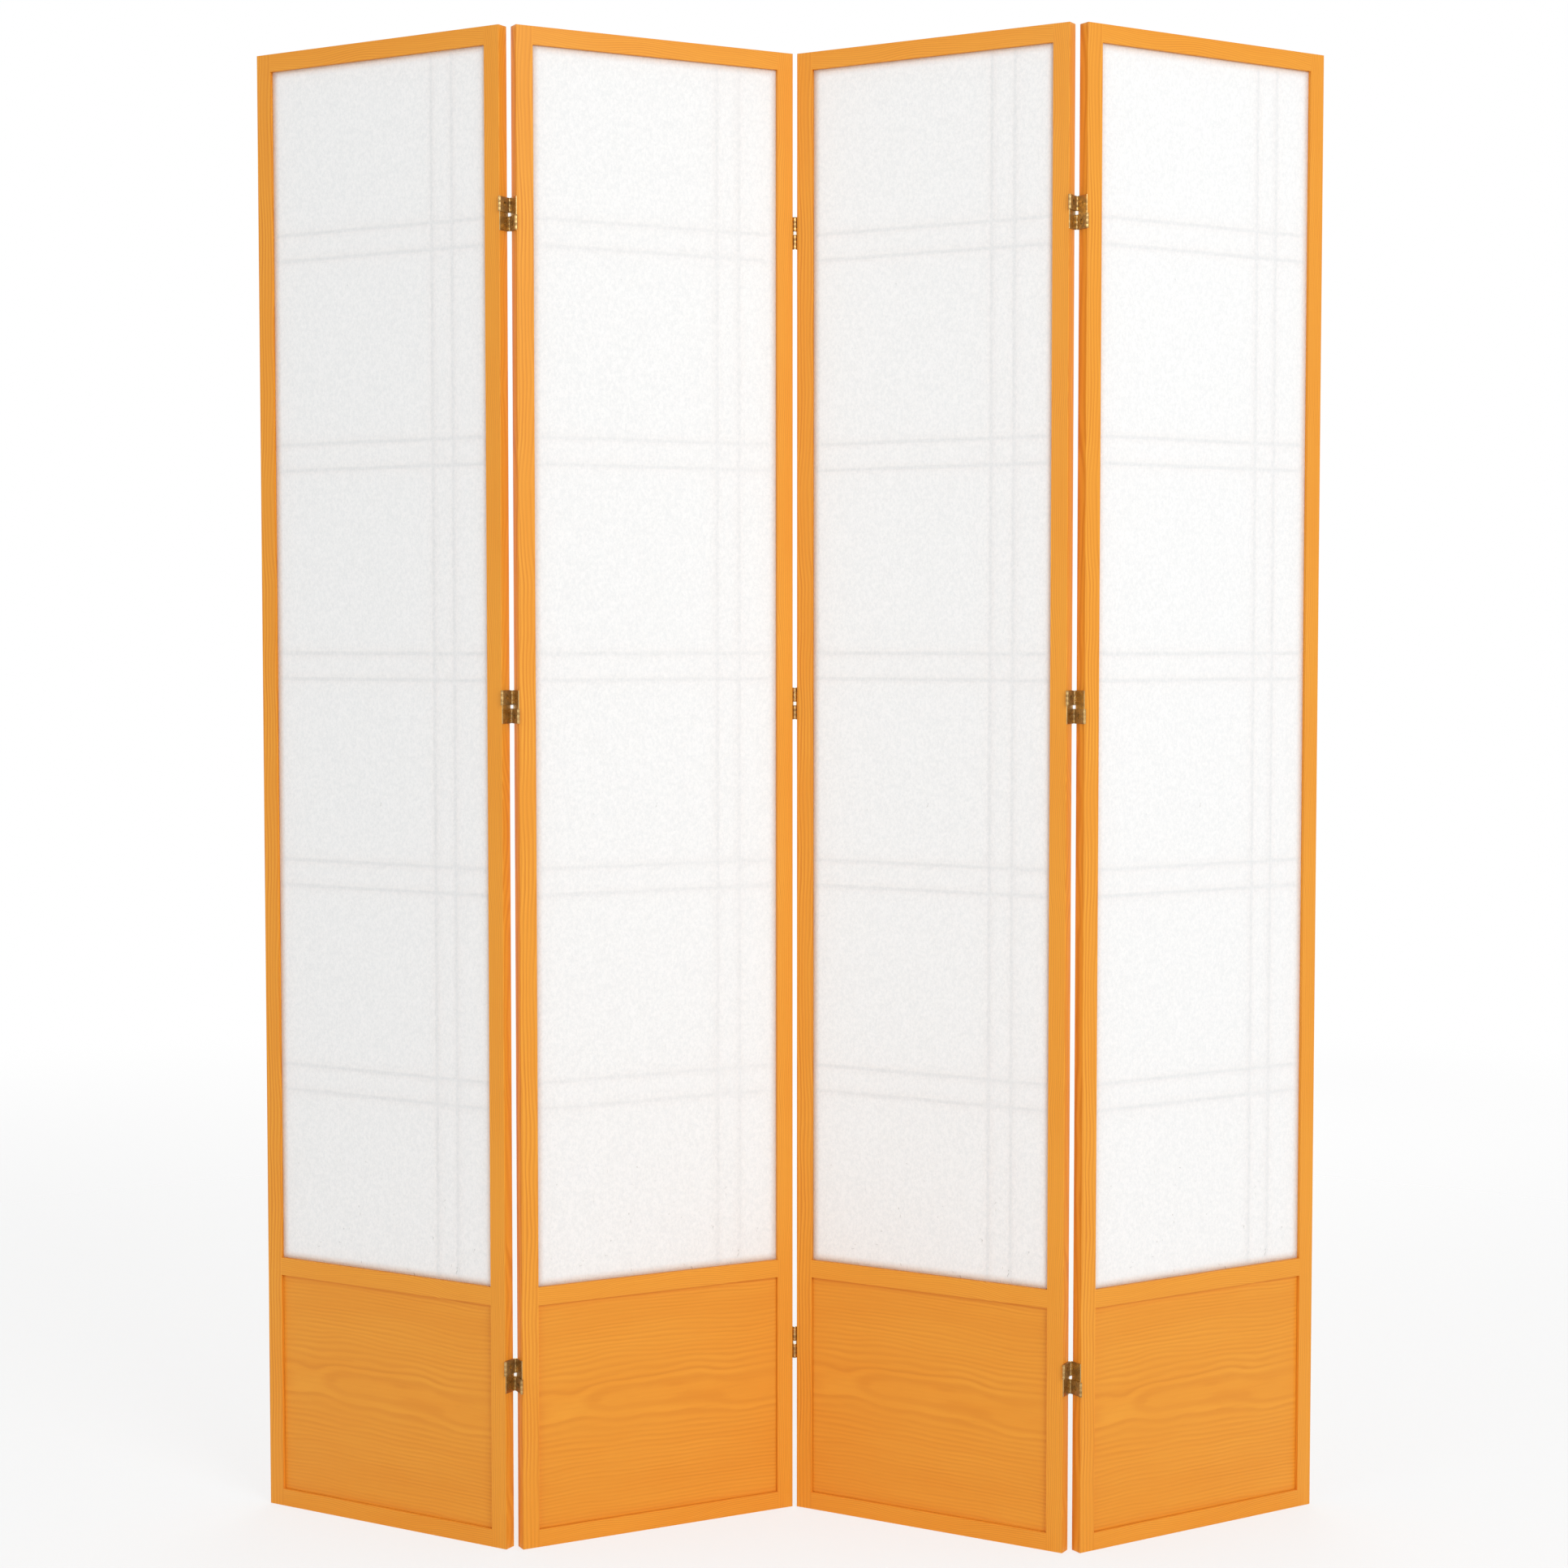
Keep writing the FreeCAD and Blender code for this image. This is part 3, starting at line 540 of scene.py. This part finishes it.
def dress_board(panel, seed, part, along, spacing, beside, depth, drift, contrast, stain):
    low, high = local_box(panel, part)
    middle = (low + high) / 2
    # across a board with its grain along X, the group's X runs down the panel
    heart = middle.x + beside if along == "Z" else -(middle.z + beside)
    rings = {"Ring Spacing": spacing, "Heart Across": heart, "Heart Depth": depth,
             "Drift": drift, "Contrast": contrast, "Stain": stain}
    name = "%s_%s" % (panel, part)
    dress(name, stained_wood(name + "_wood", panel, along, seed, rings))


for number, panel in enumerate(PANELS):
    for order, board in enumerate(BOARDS):
        dress_board(panel, 1 + order, *board)
    make_paper(panel, 1 + number)
    dress(panel + "_dowels", PLAIN_BEECH)
    dress(panel + "_hinge_pins", BRASS_WIRE)
    dress(panel + "_hinge_screws", BRASS_WIRE)
for name in NODES:
    if name.startswith("hinge_"):
        dress(name, BRASS_LINK_SHADED if "_links_" in name else BRASS_LEAF)


# ------------------------------------------------------------------ floor, light and camera
FLOOR_RADIUS = 6.0
FLOOR_CLEAR = (2.2, 5.5)                       # the floor fades into the white background between these radii
FLOOR_GREY = 0.94
FLOOR_SEEN = 0.30                              # how much of its shadow the camera sees over the white
ROOM_LIGHT = 0.62
SCREEN_MIDDLE = (0.0, 0.0, 1.0)
LAMPS = (
    # name, place, width and height, watts
    ("key", (2.6, -4.6, 3.2), (2.6, 2.6), 108.0),
    ("fill", (-3.8, -3.8, 2.6), (2.6, 2.6), 24.0),
    ("behind", (0.5, 4.0, 2.2), (3.0, 2.4), 40.0),
)


def floor_material():
    """A pale floor that fades outwards, and that the camera sees mostly for its shadow."""
    material, w, shader = new_material("pale_floor")
    shader.inputs["Base Color"].default_value = (FLOOR_GREY, FLOOR_GREY, FLOOR_GREY, 1.0)
    shader.inputs["Roughness"].default_value = 0.9
    shader.inputs["Specular IOR Level"].default_value = 0.1
    distance = w.put("VectorMath", operation="LENGTH")
    w.feed(distance.inputs[0], w.put("TexCoord").outputs["Object"])
    solid = w.remap(distance.outputs["Value"], *FLOOR_CLEAR, 1.0, 0.0)
    seen = w.remap(w.put("LightPath").outputs["Is Camera Ray"], 0.0, 1.0, 1.0, FLOOR_SEEN, "LINEAR")
    w.feed(shader.inputs["Alpha"], w.math("MULTIPLY", solid, seen))
    return material


def make_floor():
    mesh = bmesh.new()
    bmesh.ops.create_circle(mesh, cap_ends=True, segments=96, radius=FLOOR_RADIUS)
    floor = add_object("floor", mesh)
    floor.data.materials.append(floor_material())


def make_world():
    """A soft even room, which the camera, gloss and glass see as white."""
    world = bpy.data.worlds.new("studio")
    bpy.context.scene.world = world
    world.use_nodes = True
    w = Wiring(world.node_tree)
    background = world.node_tree.nodes["Background"]
    path = w.put("LightPath")
    seen = w.math("MAXIMUM", path.outputs["Is Camera Ray"], path.outputs["Is Glossy Ray"])
    seen = w.math("MAXIMUM", seen, path.outputs["Is Transmission Ray"])
    background.inputs["Color"].default_value = (1.0, 1.0, 1.0, 1.0)
    w.feed(background.inputs["Strength"], w.remap(seen, 0.0, 1.0, ROOM_LIGHT, 1.0, "LINEAR"))


def area_lamp(name, place, size, power):
    """A rectangular lamp turned towards the middle of the screen."""
    data = bpy.data.lights.new(name, "AREA")
    data.shape = "RECTANGLE"
    data.size, data.size_y = size
    data.energy = power
    lamp = bpy.data.objects.new(name, data)
    lamp.location = place
    lamp.rotation_euler = (Vector(SCREEN_MIDDLE) - Vector(place)).to_track_quat("-Z", "Y").to_euler()
    bpy.context.scene.collection.objects.link(lamp)


def make_camera():
    data = bpy.data.cameras.new("photo_camera")
    data.sensor_width = SENSOR
    data.lens = SENSOR * FOCAL_PIXELS / PHOTO_SIZE
    data.clip_end = 60.0
    camera = bpy.data.objects.new("photo_camera", data)
    camera.location = CAMERA_PLACE
    camera.rotation_euler = Euler((math.pi / 2 - CAMERA_PITCH, 0.0, 0.0))
    bpy.context.scene.collection.objects.link(camera)
    bpy.context.scene.camera = camera


make_floor()
make_world()
for lamp in LAMPS:
    area_lamp(*lamp)
make_camera()
bpy.context.scene.view_settings.view_transform = "Standard"
